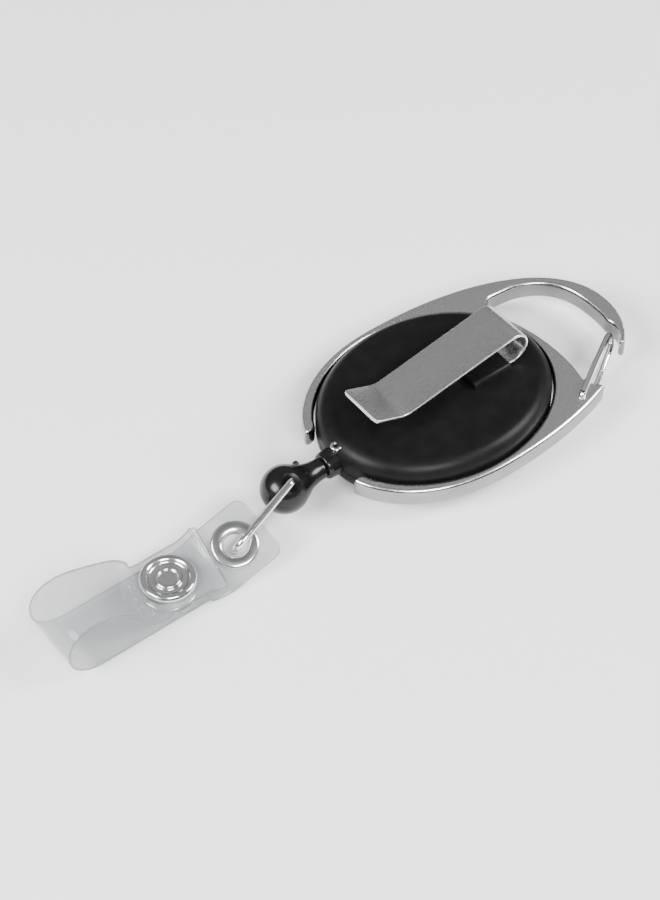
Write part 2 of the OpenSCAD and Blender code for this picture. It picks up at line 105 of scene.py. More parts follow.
def ramp(tree, fac, low, high, start=0.3, end=0.7):
    node = tree.nodes.new("ShaderNodeValToRGB")
    node.color_ramp.elements[0].position = start
    node.color_ramp.elements[0].color = (*low, 1)
    node.color_ramp.elements[1].position = end
    node.color_ramp.elements[1].color = (*high, 1)
    tree.links.new(fac, node.inputs["Fac"])
    return node.outputs["Color"]


def grey(v):
    return (v, v, v)


def finish(name, low, high, rough, metallic=0.0, scale=300.0, stretch=(1, 1, 1), bump=0.0,
           bump_scale=1500.0, **sockets):
    """A material with mottled colour and roughness and a fine bump."""
    mat, tree, shader = nodes_of(name)
    broad = noise(tree, scale, stretch)
    tree.links.new(ramp(tree, broad, low, high), shader.inputs["Base Color"])
    tree.links.new(ramp(tree, broad, grey(rough[0]), grey(rough[1])), shader.inputs["Roughness"])
    shader.inputs["Metallic"].default_value = metallic
    for key, value in sockets.items():
        shader.inputs[key.replace("_", " ")].default_value = value
    if bump:
        node = tree.nodes.new("ShaderNodeBump")
        node.inputs["Strength"].default_value = bump
        node.inputs["Distance"].default_value = BUMP_DEPTH
        tree.links.new(noise(tree, bump_scale, stretch), node.inputs["Height"])
        tree.links.new(node.outputs["Normal"], shader.inputs["Normal"])
    return mat


SATIN = finish("satin_frame", grey(0.67), grey(0.75), (0.2, 0.28), 1.0, 2600, bump=0.1, bump_scale=3500)
# the frame's side walls: polished metal with its colour darkened as painted shade
SHADED_FRAME_SIDE = finish("frame_side_painted_shade", grey(0.26), grey(0.32), (0.12, 0.2), 1.0, 200, bump=0.1, bump_scale=2500)
CHROME = finish("chrome_wire", grey(0.84), grey(0.92), (0.05, 0.1), 1.0, 400)
NICKEL = finish("nickel_plate", grey(0.76), grey(0.84), (0.12, 0.2), 1.0, 300)
BRUSHED = finish("brushed_clip", grey(0.58), grey(0.64), (0.26, 0.33), 1.0, 5000, (0.03, 1, 1), bump=0.08,
                 bump_scale=9000)
BLACK = finish("case_black", grey(0.004), grey(0.006), (0.36, 0.42), 0.0, 400, bump=0.1, bump_scale=5000,
               Specular_IOR_Level=0.12)
GLOSS = finish("gloss_black", grey(0.004), grey(0.006), (0.18, 0.24), 0.0, 300, Specular_IOR_Level=0.34)
VINYL = finish("clear_vinyl", (0.31, 0.32, 0.33), (0.37, 0.38, 0.39), (0.1, 0.16), 0.0, 90, bump=0.1,
               bump_scale=300, Alpha=0.38)
# the strap's rounded edges: a darker, more opaque copy of the clear vinyl, painted shade where the edges bend
# the light
VINYL_EDGE_SHADE = finish("vinyl_edge_painted_shade", (0.14, 0.145, 0.15), (0.2, 0.205, 0.21), (0.08, 0.14), 0.0, 120, Alpha=0.72)
CORD = finish("braided_cord", grey(0.012), grey(0.03), (0.6, 0.8), 0.0, 3000, bump=0.8, bump_scale=4000)
LABEL = finish("label_face", grey(0.70), grey(0.76), (0.2, 0.3), 0.0, 200)
SPRING = finish("spring_steel", (0.25, 0.27, 0.32), (0.32, 0.34, 0.4), (0.25, 0.35), 1.0, 600)
STEEL = finish("turned_steel", grey(0.5), grey(0.58), (0.25, 0.35), 1.0, 900)
ACETAL = finish("natural_acetal", (0.72, 0.70, 0.62), (0.78, 0.76, 0.68), (0.4, 0.5), 0.0, 300)
GREY_CAP = finish("grey_acetal", grey(0.42), grey(0.5), (0.4, 0.5), 0.0, 300)


# ---------------------------------------------------------------- mesh helpers
TOUCHING = 1e-6


def mesh(name, verts, faces, mat, body=None, replaces=(), sharp=35):
    """Makes an object from points in millimetres, shades it and puts it on its body."""
    data = bpy.data.meshes.new(name)
    data.from_pydata([Vector(v) * MM for v in verts], [], faces)
    work = bmesh.new()
    work.from_mesh(data)
    bmesh.ops.remove_doubles(work, verts=work.verts, dist=1e-7)
    bmesh.ops.recalc_face_normals(work, faces=work.faces)
    work.to_mesh(data)
    work.free()
    obj = bpy.data.objects.new(name, data)
    bpy.context.scene.collection.objects.link(obj)
    data.materials.append(mat)
    shade(obj, sharp)
    if replaces:
        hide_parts(*replaces)
    if body:
        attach(obj, body)
    return obj


def shade(obj, sharp=35):
    obj.data.polygons.foreach_set("use_smooth", [True] * len(obj.data.polygons))
    obj.data.set_sharp_from_angle(angle=radians(sharp))


def cut(obj, cutter, sharp=35):
    """Takes the cutter's shape out of obj and deletes the cutter."""
    modifier = obj.modifiers.new("cut", "BOOLEAN")
    modifier.object = cutter
    modifier.solver = "EXACT"
    bpy.context.view_layer.update()
    result = bpy.data.meshes.new_from_object(obj.evaluated_get(bpy.context.evaluated_depsgraph_get()))
    obj.modifiers.clear()
    obj.data = result
    bpy.data.objects.remove(cutter)
    shade(obj, sharp)


def loops_to_mesh(loops, closed=True, caps=(True, True)):
    """Skins rings of equal length into verts and faces."""
    n = len(loops[0])
    verts = [p for ring in loops for p in ring]
    faces = []
    for i in range(len(loops) - 1):
        for k in range(n if closed else n - 1):
            m = (k + 1) % n
            faces.append((i * n + k, i * n + m, (i + 1) * n + m, (i + 1) * n + k))
    if caps[0]:
        faces.append(tuple(range(n)))
    if caps[1]:
        faces.append(tuple((len(loops) - 1) * n + k for k in range(n)))
    return verts, faces


def rounded(points, closed=True, steps=5):
    """A 2-D path with its corners rounded. A point is (x, y) or (x, y, radius)."""
    out = []
    n = len(points)
    for i, p in enumerate(points):
        r = p[2] if len(p) > 2 else 0
        if not r or (not closed and i in (0, n - 1)):
            out.append(Vector(p[:2]))
            continue
        here = Vector(p[:2])
        before = Vector(points[i - 1][:2]) - here
        after = Vector(points[(i + 1) % n][:2]) - here
        reach = min(r, before.length * 0.48, after.length * 0.48)
        a, b = here + before.normalized() * reach, here + after.normalized() * reach
        for k in range(steps + 1):
            t = k / steps
            out.append(a * (1 - t) ** 2 + here * 2 * t * (1 - t) + b * t * t)
    return out


def revolve(name, profile, mat, body, replaces=(), place=Matrix.Identity(4), squash=1.0,
            segments=96, sharp=35):
    """Turns a profile of (radius, height) points about Z. A closed profile makes a ring."""
    solid = profile[0][0] < TOUCHING
    verts = []
    for k in range(segments):
        a = 2 * pi * k / segments
        verts += [place @ Vector((r * cos(a), r * sin(a) * squash, z)) for r, z in profile]
    n = len(profile)
    faces = []
    for i in range(segments):
        j = (i + 1) % segments
        for k in range(n - 1 if solid else n):
            m = (k + 1) % n
            faces.append((i * n + k, j * n + k, j * n + m, i * n + m))
    return mesh(name, verts, faces, mat, body, replaces, sharp)


def smooth_path(points, steps=6):
    """A Catmull-Rom curve through the points."""
    pts = [Vector(p) for p in points]
    out = []
    for i in range(len(pts) - 1):
        p0, p1, p2 = pts[max(i - 1, 0)], pts[i], pts[i + 1]
        p3 = pts[min(i + 2, len(pts) - 1)]
        for k in range(steps):
            t = k / steps
            out.append(0.5 * ((2 * p1) + (p2 - p0) * t + (2 * p0 - 5 * p1 + 4 * p2 - p3) * t * t
                              + (3 * p1 - p0 - 3 * p2 + p3) * t ** 3))
    out.append(pts[-1])
    return out


def tangent(path, i):
    return (path[min(i + 1, len(path) - 1)] - path[max(i - 1, 0)]).normalized()


# how far each end ring of a tube is shrunk, and how far back it is set, as shares of the radius
DOME = ((0.35, 0.0), (0.75, -0.25))


def tube(name, path, radius, mat, body=None, replaces=(), sides=24):
    """A round wire along a path, with rounded ends."""
    side = tangent(path, 0).orthogonal().normalized()
    loops = []
    last = len(path) - 1
    for i, p in enumerate(path):
        t = tangent(path, i)
        side = (side - t * side.dot(t)).normalized()
        up = t.cross(side)
        around = [side * cos(2 * pi * k / sides) + up * sin(2 * pi * k / sides) for k in range(sides)]
        if i in (0, last):
            sign = -1 if i == 0 else 1
            for shrink, back in DOME if i == 0 else reversed(DOME):
                c = p + t * sign * radius * back
                loops.append([c + a * radius * shrink for a in around])
            continue
        loops.append([p + a * radius for a in around])
    verts, faces = loops_to_mesh(loops)
    return mesh(name, verts, faces, mat, body, replaces, 50)


RIM_STEPS = 6
# the bands of the rim, counted from its lower edge, that take the side material: a darker copy of the frame
# metal, painted shade on the side walls
SHADED_SIDE_BANDS = (2, 10)


def plate(name, outline, z0, z1, edge, mat, body, replaces, shaded_side_mat):
    """A flat plate with a rounded rim. outline points are (x, y, share of the edge's inset)."""
    n = len(outline)
    pts = [Vector(p[:2]) for p in outline]
    area = sum(pts[i].x * pts[(i + 1) % n].y - pts[(i + 1) % n].x * pts[i].y for i in range(n))
    inward = []
    for i in range(n):
        a = (pts[i] - pts[i - 1]).normalized()
        b = (pts[(i + 1) % n] - pts[i]).normalized()
        t = (a + b).normalized()
        miter = 1 / max(0.5, t.dot(b))
        inward.append(Vector((-t.y, t.x)) * (1 if area > 0 else -1) * miter * outline[i][2])
    profile = []
    for k in range(RIM_STEPS + 1):
        a = pi / 2 * k / RIM_STEPS
        profile.append((edge * (1 - sin(a)), z0 + edge * (1 - cos(a))))
    profile += [(inset, z0 + z1 - z) for inset, z in reversed(profile)]
    loops = [[Vector((*(pts[i] + inward[i] * inset), z)) for i in range(n)] for inset, z in profile]
    verts, faces = loops_to_mesh(loops, caps=(False, False))
    inner = [Vector((v.x, v.y, 0)) for v in loops[0]]
    above = (len(loops) - 1) * n
    for a, b, c in tessellate_polygon([inner]):
        faces.append((a, b, c))
        faces.append((a + above, b + above, c + above))
    obj = mesh(name, verts, faces, mat, body, replaces, 40)
    # the side walls and the rounding next to them take the darker metal: painted shade
    obj.data.materials.append(shaded_side_mat)
    shaded_wall = [1 if SHADED_SIDE_BANDS[0] * n <= i < SHADED_SIDE_BANDS[1] * n else 0 for i in range(len(faces))]
    obj.data.polygons.foreach_set("material_index", shaded_wall)


# ---------------------------------------------------------------- frame
EGG_X, EGG_REAR, EGG_FRONT, EGG_HALF, EGG_N = 1.4, 27.2, 41.3, 21.0, 2.17
HOOK_X, HOOK_A, HOOK_B, HOOK_N = 22.0, 17.1, 13.7, 2.6
WEB_R, WEB_TIP = 34.0, (26.0, -5.0)
SEAT_GAP = 0.25


def spow(v, n):
    return abs(v) ** n * (1 if v >= 0 else -1)


def egg(deg):
    c, s = cos(radians(deg)), sin(radians(deg))
    half = EGG_FRONT if c > 0 else EGG_REAR
    return EGG_X + half * spow(c, 2 / EGG_N), EGG_HALF * spow(s, 2 / EGG_N)


def hook(deg):
    c, s = cos(radians(deg)), sin(radians(deg))
    return HOOK_X + HOOK_A * spow(c, 2 / HOOK_N), HOOK_B * spow(s, 2 / HOOK_N)


def web_x(y):
    return WEB_TIP[0] - (WEB_R - sqrt(WEB_R ** 2 - (y - WEB_TIP[1]) ** 2))


def steps_between(a, b, step):
    count = max(1, round(abs(b - a) / step))
    return [a + (b - a) * i / count for i in range(count + 1)]


SLOT_END = (25.4, 11.1, 2.4)
prong_t = 180 - degrees(asin((PRONG_GAP / EGG_HALF) ** (EGG_N / 2)))
hole_a, hole_b = CASE_A + SEAT_GAP, CASE_B + SEAT_GAP
hole_t = degrees(asin(PRONG_GAP / hole_b))
NOSE_T, SHOULDER_T = -30.8, -53.2
outline = [(*egg(t), 0) for t in steps_between(prong_t, NOSE_T, 2.0)]
outline += [(36.6, -10.4, 0.7), (38.0, -9.3, 0.5), (38.7, -8.0, 0.5), (39.0, -6.0, 0.5)]
outline += [(*hook(t), 0) for t in steps_between(-14, 68, 3.0)]
outline += [(SLOT_END[0] + SLOT_END[2] * cos(radians(t)), SLOT_END[1] + SLOT_END[2] * sin(radians(t)), 0)
            for t in steps_between(100, 195, 8)]
outline += [(web_x(y), y, 0) for y in steps_between(8, -13.4, 1.0)]
outline += [(25.2, -14.6, 0.9)]
outline += [(*egg(t), 0) for t in steps_between(SHOULDER_T, -prong_t, 2.0)]
outline += [(hole_a * cos(radians(t)), hole_b * sin(radians(t)), 0)
            for t in steps_between(180 + hole_t, 540 - hole_t, 2.0)]
# the corners at the nose, the shoulder and the prongs' ends: the points next to each make room to round it
CORNER_R = 1.0
corners = [Vector(egg(t)) for t in (prong_t, NOSE_T, SHOULDER_T, -prong_t)]
corners += [Vector((hole_a * cos(radians(t)), hole_b * sin(radians(t))))
            for t in (180 + hole_t, 540 - hole_t)]
points = []
for x, y, r in outline:
    gaps = [(Vector((x, y)) - c).length for c in corners]
    if min(gaps) < TOUCHING:
        points.append((x, y, CORNER_R))
    elif min(gaps) > CORNER_R * 1.6 or r:
        points.append((x, y, r))
rim = rounded(points)
RIM_R = 0.8
NOSE_AT, NOSE_REACH, NOSE_SHARE = Vector((37.6, -9.8)), 2.6, 0.45
CORNER_REACH, CORNER_SHARE = 1.3, 0.7


def inset_share(p):
    """How much of the rim's rounding a point of the outline takes: less where the outline turns sharply."""
    if (p - NOSE_AT).length < NOSE_REACH:
        return NOSE_SHARE
    return CORNER_SHARE if min((p - c).length for c in corners) < CORNER_REACH else 1.0


rim = [(p.x, p.y, inset_share(p)) for p in rim]
plate("carabiner_frame", rim, FRAME_Z, FRAME_TOP, RIM_R, SATIN, "reel", ["frame"], SHADED_FRAME_SIDE)

# ---------------------------------------------------------------- case
OVAL = CASE_B / CASE_A
BACK_R = 3.7
SEAM_LO, SEAM_HI = 5.1, 6.1
LABEL_R = 13.0
FRONT_RUN, FRONT_RISE = 6.5, 4
CASE_SEGMENTS = 160


def arc(cx, cy, r, a0, a1, steps):
    turns = [radians(a0 + (a1 - a0) * k / steps) for k in range(steps + 1)]
    return [(cx + r * cos(a), cy + r * sin(a)) for a in turns]


back = [(0, SEAM_HI), (CASE_A - 1.5, SEAM_HI), (CASE_A, SEAM_HI)]
back += arc(CASE_A - BACK_R, CASE_TOP - BACK_R, BACK_R, 0, 78, 12)
back += [(CASE_A - BACK_R, CASE_TOP - 0.04), (CASE_A - BACK_R - 2, CASE_TOP), (10, CASE_TOP), (0, CASE_TOP)]
revolve("back_shell", back, BLACK, "reel", ["back_cover"], squash=OVAL,
        segments=CASE_SEGMENTS)
front = [(0, 0.5), (LABEL_R, 0.5), (LABEL_R, 0.0)]
front += [(CASE_A - FRONT_RUN + FRONT_RUN * cos(radians(t)), FRONT_RISE + FRONT_RISE * sin(radians(t)))
          for t in range(-90, 1, 6)]
front += [(CASE_A, SEAM_LO), (0, SEAM_LO)]
revolve("front_shell", front, BLACK, "reel", ["front_cover"], squash=OVAL,
        segments=CASE_SEGMENTS)

BRIDGE_X0, BRIDGE_X1 = 5.0, 13.6
BRIDGE_BASE, BRIDGE_TOP, BRIDGE_Z, BRIDGE_EDGE = 5.9, 5.4, 12.0, 0.7
# each ring of the bridge: its end, and how far along X from there and how far down, as shares of the edge
BRIDGE_RINGS = ((BRIDGE_X0, 0, 0.9), (BRIDGE_X0, 0.3, 0.35), (BRIDGE_X0, 1, 0),
                (BRIDGE_X1, -0.4, 0), (BRIDGE_X1, -0.1, 0.12), (BRIDGE_X1, 0, 0.4))
BRIDGE_TAPER = 0.02
SLOT_X, SLOT_Y, SLOT_Z = (5.2, 20), (-4.9, 4.9), (10.87, 11.53)
BOX_FACES = [(0, 1, 3, 2), (4, 6, 7, 5), (0, 4, 5, 1), (2, 3, 7, 6), (0, 2, 6, 4), (1, 5, 7, 3)]


def bridge():
    """The raised bridge that holds the root of the belt clip: a trapezium along X with rounded top edges."""
    z0 = CASE_TOP - 0.3
    section = rounded([(-BRIDGE_BASE, z0), (-BRIDGE_TOP, BRIDGE_Z, BRIDGE_EDGE),
                       (BRIDGE_TOP, BRIDGE_Z, BRIDGE_EDGE), (BRIDGE_BASE, z0)])
    loops = []
    for end, along, down in BRIDGE_RINGS:
        x = end + BRIDGE_EDGE * along
        drop = BRIDGE_EDGE * down
        low = 1 - drop / (BRIDGE_Z - z0)
        loops.append([Vector((x, s.x * (1 - drop * BRIDGE_TAPER), z0 + (s.y - z0) * low)) for s in section])
    verts, faces = loops_to_mesh(loops)
    return mesh("clip_bridge", verts, faces, BLACK, "reel", (), 40)


pocket = bridge()
slot_cut = mesh("slot_cut", [(x, y, z) for x in SLOT_X for y in SLOT_Y for z in SLOT_Z], BOX_FACES, BLACK)
cut(pocket, slot_cut, 40)

# ---------------------------------------------------------------- belt clip
ARM_SLOPE, ARM_L = 10, 25.0
LIP_RISE, KINK_REACH = 23, 1.1
RING = 16
RING_FLATS = (3, 11)


def strip(name, path, sides, half, thick, mat, replaces=(), body=None, caps=(True, True), edge=0.3,
          corner=0.0, sharp=40, shaded_rim_mat=None):
    """A flat ribbon. path holds points and sides holds the unit vector across the ribbon at each."""
    total = [0.0]
    for i in range(1, len(path)):
        total.append(total[-1] + (path[i] - path[i - 1]).length)
    loops = []
    for i, p in enumerate(path):
        t = tangent(path, i)
        s = sides[i]
        u = t.cross(s).normalized()
        left = total[-1] - total[i]
        w = half
        if corner and left < corner:
            w = half - corner + sqrt(max(0.0, corner ** 2 - (corner - left) ** 2))
        h = thick / 2
        r = min(edge * thick, h * 0.98)
        ring = []
        for sx, sy, a0 in ((1, 1, 0), (-1, 1, 90), (-1, -1, 180), (1, -1, 270)):
            for k in range(RING // 4):
                a = radians(a0 + 30 * k)
                ring.append(p + s * (sx * (w - r) + r * cos(a)) + u * (sy * (h - r) + r * sin(a)))
        loops.append(ring)
    verts, faces = loops_to_mesh(loops, caps=caps)
    obj = mesh(name, verts, faces, mat, body, replaces, sharp)
    # the edge faces take the darker vinyl: painted shade along the strap's edges
    if shaded_rim_mat:
        obj.data.materials.append(shaded_rim_mat)
        skin = (len(loops) - 1) * RING
        shaded_rims = [0 if i < skin and i % RING in RING_FLATS else 1 for i in range(len(faces))]
        obj.data.polygons.foreach_set("material_index", shaded_rims)
    return obj


def clip_path():
    pts = [(x, LEG_Z) for x in (5.4, 7, 8.5, 10, 12, 13.4)]
    pts += arc(BEND_C[0], BEND_C[1], BEND_R, -90, 90 + ARM_SLOPE, 26)
    start = pts[-1]
    kink = (start[0] - ARM_L * cos(radians(ARM_SLOPE)), start[1] - ARM_L * sin(radians(ARM_SLOPE)))
    for k in range(1, 12):
        pts.append((start[0] + (kink[0] - start[0]) * k / 12, start[1] + (kink[1] - start[1]) * k / 12))
    away = (-cos(radians(LIP_RISE)), sin(radians(LIP_RISE)))
    along = (-cos(radians(ARM_SLOPE)), -sin(radians(ARM_SLOPE)))
    for k in range(7):
        t = k / 6
        a = (kink[0] - along[0] * KINK_REACH, kink[1] - along[1] * KINK_REACH)
        b = (kink[0] + away[0] * KINK_REACH, kink[1] + away[1] * KINK_REACH)
        pts.append((a[0] * (1 - t) ** 2 + kink[0] * 2 * t * (1 - t) + b[0] * t * t,
                    a[1] * (1 - t) ** 2 + (kink[1] + 0.1) * 2 * t * (1 - t) + b[1] * t * t))
    for d in (2.2, 3.6, 5.0, 6.2, 7.0, 7.3, 7.5, 7.6):
        pts.append((kink[0] + away[0] * d, kink[1] + away[1] * d))
    return [Vector((x, 0, z)) for x, z in pts]


path = clip_path()
clip = strip("belt_clip", path, [Vector((0, 1, 0))] * len(path), CLIP_W / 2, CLIP_T, BRUSHED,
             ["clip_base", "clip_arm"], corner=0.7, edge=0.35)
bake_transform(clip)

# ---------------------------------------------------------------- gate
GATE_R = 0.65
GATE_ANGLE = radians(32)
GATE_REACH = 18.4
GATE_GAP = 0.05
hi = FRAME_TOP + GATE_R + GATE_GAP
lo = FRAME_Z - GATE_R - GATE_GAP


def bend(x, y, z, r, a0, a1, steps):
    turns = [radians(a) for a in steps_between(a0, a1, abs(a1 - a0) / steps)]
    return [(x + r * cos(a), y, z + r * sin(a)) for a in turns]


gate_points = [(0, 0, AXIS_Z + 0.5), (0, 0, AXIS_Z + 1.2)]
gate_points += bend(0.9, 0, hi - 0.9, 0.9, 180, 90, 4)
gate_points += [(4, 0, hi), (7.2, 0, hi), (9.2, -0.03, hi - 0.14), (12, -0.06, hi - 0.62)]
gate_points += [(GATE_REACH - 1.6, -0.1, AXIS_Z + 1.35), (GATE_REACH - 0.4, -0.25, AXIS_Z + 0.95)]
gate_points += [(GATE_REACH, -0.5, AXIS_Z), (GATE_REACH - 0.4, -0.8, AXIS_Z - 0.95)]
gate_points += [(GATE_REACH - 1.6, -0.95, AXIS_Z - 1.35), (13, -0.92, lo + 0.55), (10, -0.9, lo + 0.12)]
gate_points += [(8.2, -0.85, lo), (4, -0.42, lo)]
gate_points += bend(0.9, 0, lo + 0.9, 0.9, -90, -180, 4)
gate_points += [(0, 0, AXIS_Z - 1.2), (0, 0, AXIS_Z - 0.5)]
gate_turn = Matrix.Translation((*GATE_PIVOT, 0)) @ Matrix.Rotation(GATE_ANGLE, 4, "Z")
gate_path = [gate_turn @ p for p in smooth_path(gate_points, 5)]
tube("gate_spring", gate_path, GATE_R, CHROME, "gate", ["gate_wire"])

# ---------------------------------------------------------------- cord exit
to_minus_x = Matrix.Translation((0, 0, AXIS_Z)) @ Matrix.Rotation(-pi / 2, 4, "Y")
nozzle = rounded([(0.5, 20.6), (2.4, 20.6), (2.7, 21.2), (2.72, 23.2), (2.6, 25.3, 0.3), (2.45, 26.0, 0.35),
                  (1.0, 26.0, 0.4), (0.55, 25.0, 0.3)])
revolve("cord_nozzle_shell", [(p.x, p.y) for p in nozzle], GLOSS, "reel", ["cord_nozzle"],
        to_minus_x)
WING_IN, WING_DEEP = 0.06, 1.5
wing = [(-(CASE_A - WING_IN) * cos(radians(t)), (CASE_B - WING_IN) * sin(radians(t))) for t in range(-19, 20)]
wing += [(-(CASE_A - WING_DEEP) * cos(radians(t)), (CASE_B - WING_DEEP) * sin(radians(t)))
         for t in range(19, -20, -1)]
verts, faces = loops_to_mesh([[Vector((x, y, z)) for x, y in wing] for z in (SEAM_LO, SEAM_HI)])
mesh("seam_wings", verts, faces, BLACK, "reel", ())
RIVET_X = -22.9
rivet = rounded([(0.45, 7.0), (0.8, 7.0), (0.8, 9.0), (1.05, 9.1, 0.1), (1.1, 9.35, 0.15), (0.85, 9.5, 0.15),
                 (0.5, 9.4, 0.1)])
revolve("nozzle_rivet_head", [(p.x, p.y) for p in rivet], NICKEL, "reel", ["nozzle_rivet"],
        Matrix.Translation((RIVET_X, 0, 0)), segments=48)

# ---------------------------------------------------------------- cord
CORD_R = 0.412
CORD_FROM, CORD_STEP, CORD_POINTS = -24.0, 0.12, 66
cord_path = [Vector((CORD_FROM - CORD_STEP * k, 0, AXIS_Z)) for k in range(CORD_POINTS)]
cord = tube("pull_cord", cord_path, CORD_R, CORD, replaces=["cord_tail"], sides=16)
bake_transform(cord)

# ---------------------------------------------------------------- teardrop fitting
teardrop = [(0.0, BALL_R)]
teardrop += [(BALL_R * sin(radians(t)), BALL_R * cos(radians(t))) for t in range(5, 121, 5)]
neck = smooth_path([(3.94, -2.27, 0), (3.35, -3.35, 0), (2.68, -4.5, 0), (2.28, -5.7, 0), (2.08, -6.9, 0),
                    (2.0, -8.0, 0)], 4)
teardrop += [(p.x, p.y) for p in neck[1:]]
teardrop += [(1.85, -8.3), (1.0, -8.35), (0.0, -8.35)]
ball_place = Matrix.Translation((BALL_X, 0, AXIS_Z)) @ Matrix.Rotation(-pi / 2, 4, "Y")
fitting = revolve("teardrop_fitting", teardrop, GLOSS, "fitting", ["end_fitting"],
                  ball_place)
tilt = Matrix.Translation((BALL_X, 0, AXIS_Z)) @ Matrix.Rotation(HOLE_TILT, 4, "X")
hole = rounded([(0.0, -7), (2.6, -7), (2.05, -4.35, 0.5), (0.76, -3.3, 0.4), (0.76, 3.3, 0.4),
                (2.05, 4.35, 0.5), (2.6, 7), (0.0, 7)])
cutter = revolve("cross_hole", [(p.x, p.y) for p in hole], GLOSS, None, place=tilt, segments=48)
cut(fitting, cutter, 32)
NUB_R, NUB_AT = 0.65, (-30.4, 2.2, AXIS_Z + 1.9)
nub = [(NUB_R * sin(radians(t)), -NUB_R * cos(radians(t))) for t in range(0, 181, 15)]
revolve("moulding_nub", nub, GLOSS, "fitting", (), Matrix.Translation(NUB_AT), segments=24)

# ---------------------------------------------------------------- bail
BAIL_L, BAIL_HALF, BAIL_R = 15.25, 5.5, 0.65
LEG_END, LEG_BEND, NOSE_BEND = 1.9, 1.1, 2.8
bail_points = [(0, 0, LEG_END), (0, 0, BAIL_HALF - LEG_END)]
bail_points += bend(-LEG_BEND, 0, BAIL_HALF - LEG_BEND, LEG_BEND, 0, 75, 4)
bail_points += bend(-(BAIL_L - NOSE_BEND), 0, 0, NOSE_BEND, 105, 255, 12)
bail_points += bend(-LEG_BEND, 0, LEG_BEND - BAIL_HALF, LEG_BEND, -75, 0, 4)
bail_points += [(0, 0, LEG_END - BAIL_HALF), (0, 0, -LEG_END)]
bail_turn = tilt @ Matrix.Rotation(BAIL_YAW, 4, "Z")


def rounded_path(points, steps):
    """Keeps the points and adds evenly spaced ones on the long straight runs."""
    out = []
    for a, b in zip(points, points[1:]):
        a, b = Vector(a), Vector(b)
        count = max(1, round((b - a).length / steps))
        out += [a + (b - a) * k / count for k in range(count)]
    return out + [Vector(points[-1])]


bail_path = [bail_turn @ p for p in rounded_path(bail_points, 0.8)]
tube("wire_bail", bail_path, BAIL_R, CHROME, "bail_body", ["bail"])

# ---------------------------------------------------------------- strap
base_route = [
    (-80, STRAP_Y, BASE_Z + 0.05, 0), (-77, STRAP_Y, BASE_Z, 0), (-70, STRAP_Y, BASE_Z, 0),
    (-62, STRAP_Y, BASE_Z, 0), (-58, STRAP_Y, BASE_Z, 0), (-56.6, -3.05, BASE_Z + 0.05, 1),
    (-55.4, -3.3, 1.5, 7), (-54.2, -3.6, 2.0, 14)]
eye_step = Vector((cos(EYE_PITCH), 0, sin(EYE_PITCH)))
for s in (-4.6, -2.3, 0, 2.3, 4.0, 4.8, 5.4, 5.75, 6.0, 6.1):
    p = EYE + eye_step * s
    base_route.append((p.x, p.y, p.z, degrees(EYE_ROLL)))
fold_route = [
    (-80, STRAP_Y, BASE_Z + 0.05, 0), (-81.8, STRAP_Y, 1.55, 0), (-83.5, STRAP_Y, 2.45, 0),
    (-84.8, STRAP_Y, 3.8, 0), (-85.5, STRAP_Y, 5.4, 0), (-85.68, STRAP_Y, 7.15, 0), (-85.4, STRAP_Y, 9, 0),
    (-84.4, STRAP_Y, 10.7, 0), (-82.6, STRAP_Y, 11.85, 0), (-80, STRAP_Y, 12.25, 0)]
flap_route = [
    (-80, STRAP_Y, 12.25, 0), (-77.4, STRAP_Y, 11.7, 0), (-74.6, STRAP_Y, 10.5, 2), (-72, STRAP_Y, 8.9, 7),
    (-70, STRAP_Y, 7.2, 15), (-68.7, STRAP_Y, 5.6, 18), (-67.6, STRAP_Y, 4.4, 15),
    (-66.2, STRAP_Y, FLAP_Z, 6), (-64.5, STRAP_Y, FLAP_Z, 0), (-62, STRAP_Y, FLAP_Z, 0),
    (-58, STRAP_Y, FLAP_Z, 0), (-56.2, -3.05, FLAP_Z + 0.02, 1),
    (-54.8, -3.25, 3.8, 7), (-53.9, -3.45, 4.25, 12), (-53.45, -3.55, 4.5, 15), (-53.3, -3.6, 4.6, 16)]


def ribbon(name, route, mat, caps, body=None, replaces=(), corner=0.0):
    """A strip along a route of (x, y, z, roll in degrees)."""
    rolls = smooth_path([(r[3], 0, 0) for r in route], 5)
    path = smooth_path([r[:3] for r in route], 5)
    sides = []
    for i in range(len(path)):
        h = tangent(path, i)
        s = Vector((-h.z, 0, h.x)).cross(h).normalized()
        u = h.cross(s)
        a = radians(rolls[i].x)
        sides.append(s * cos(a) + u * sin(a))
    return strip(name, path, sides, STRAP_W / 2, STRAP_T, mat, replaces, body, caps, 0.3, corner,
                 sharp=60, shaded_rim_mat=VINYL_EDGE_SHADE)


lower = ribbon("strap_lower", base_route, VINYL, (False, True), "strap", ["strap_base"], 2.0)
eye_place = Matrix.Translation(EYE) @ EYE_TURN
eye_cut = revolve("eye_cut", [(0.0, -2), (2.5, -2), (2.5, 2), (0.0, 2)], NICKEL, None, place=eye_place,
                  segments=48)
cut(lower, eye_cut, 60)
fold = ribbon("strap_fold", fold_route, VINYL, (False, False))
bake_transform(fold)
ribbon("strap_upper", flap_route, VINYL, (False, True), "flap", ["strap_flap"], 0.8)

# ---------------------------------------------------------------- eyelet
top = STRAP_T / 2
eyelet = rounded([(2.1, -0.9, 0.2), (2.5, -1.05, 0.2), (3.1, -0.95, 0.2), (3.15, -0.72), (2.55, -0.7),
                  (2.55, top), (4.3, top), (4.35, top + 0.25, 0.15), (4.0, top + 0.5, 0.25),
                  (3.1, top + 0.62, 0.4), (2.35, top + 0.45, 0.4), (2.1, top - 0.1, 0.4)])
revolve("eyelet_ring", [(p.x, p.y) for p in eyelet], NICKEL, "strap", ["strap_eyelet"],
        eye_place)
washer = rounded([(2.62, -top - 0.45), (4.2, -top - 0.45, 0.12), (4.3, -top - 0.3, 0.12), (4.3, -top),
                  (2.62, -top)])
revolve("eyelet_back", [(p.x, p.y) for p in washer], NICKEL, "strap", ["eyelet_washer"],
        eye_place)

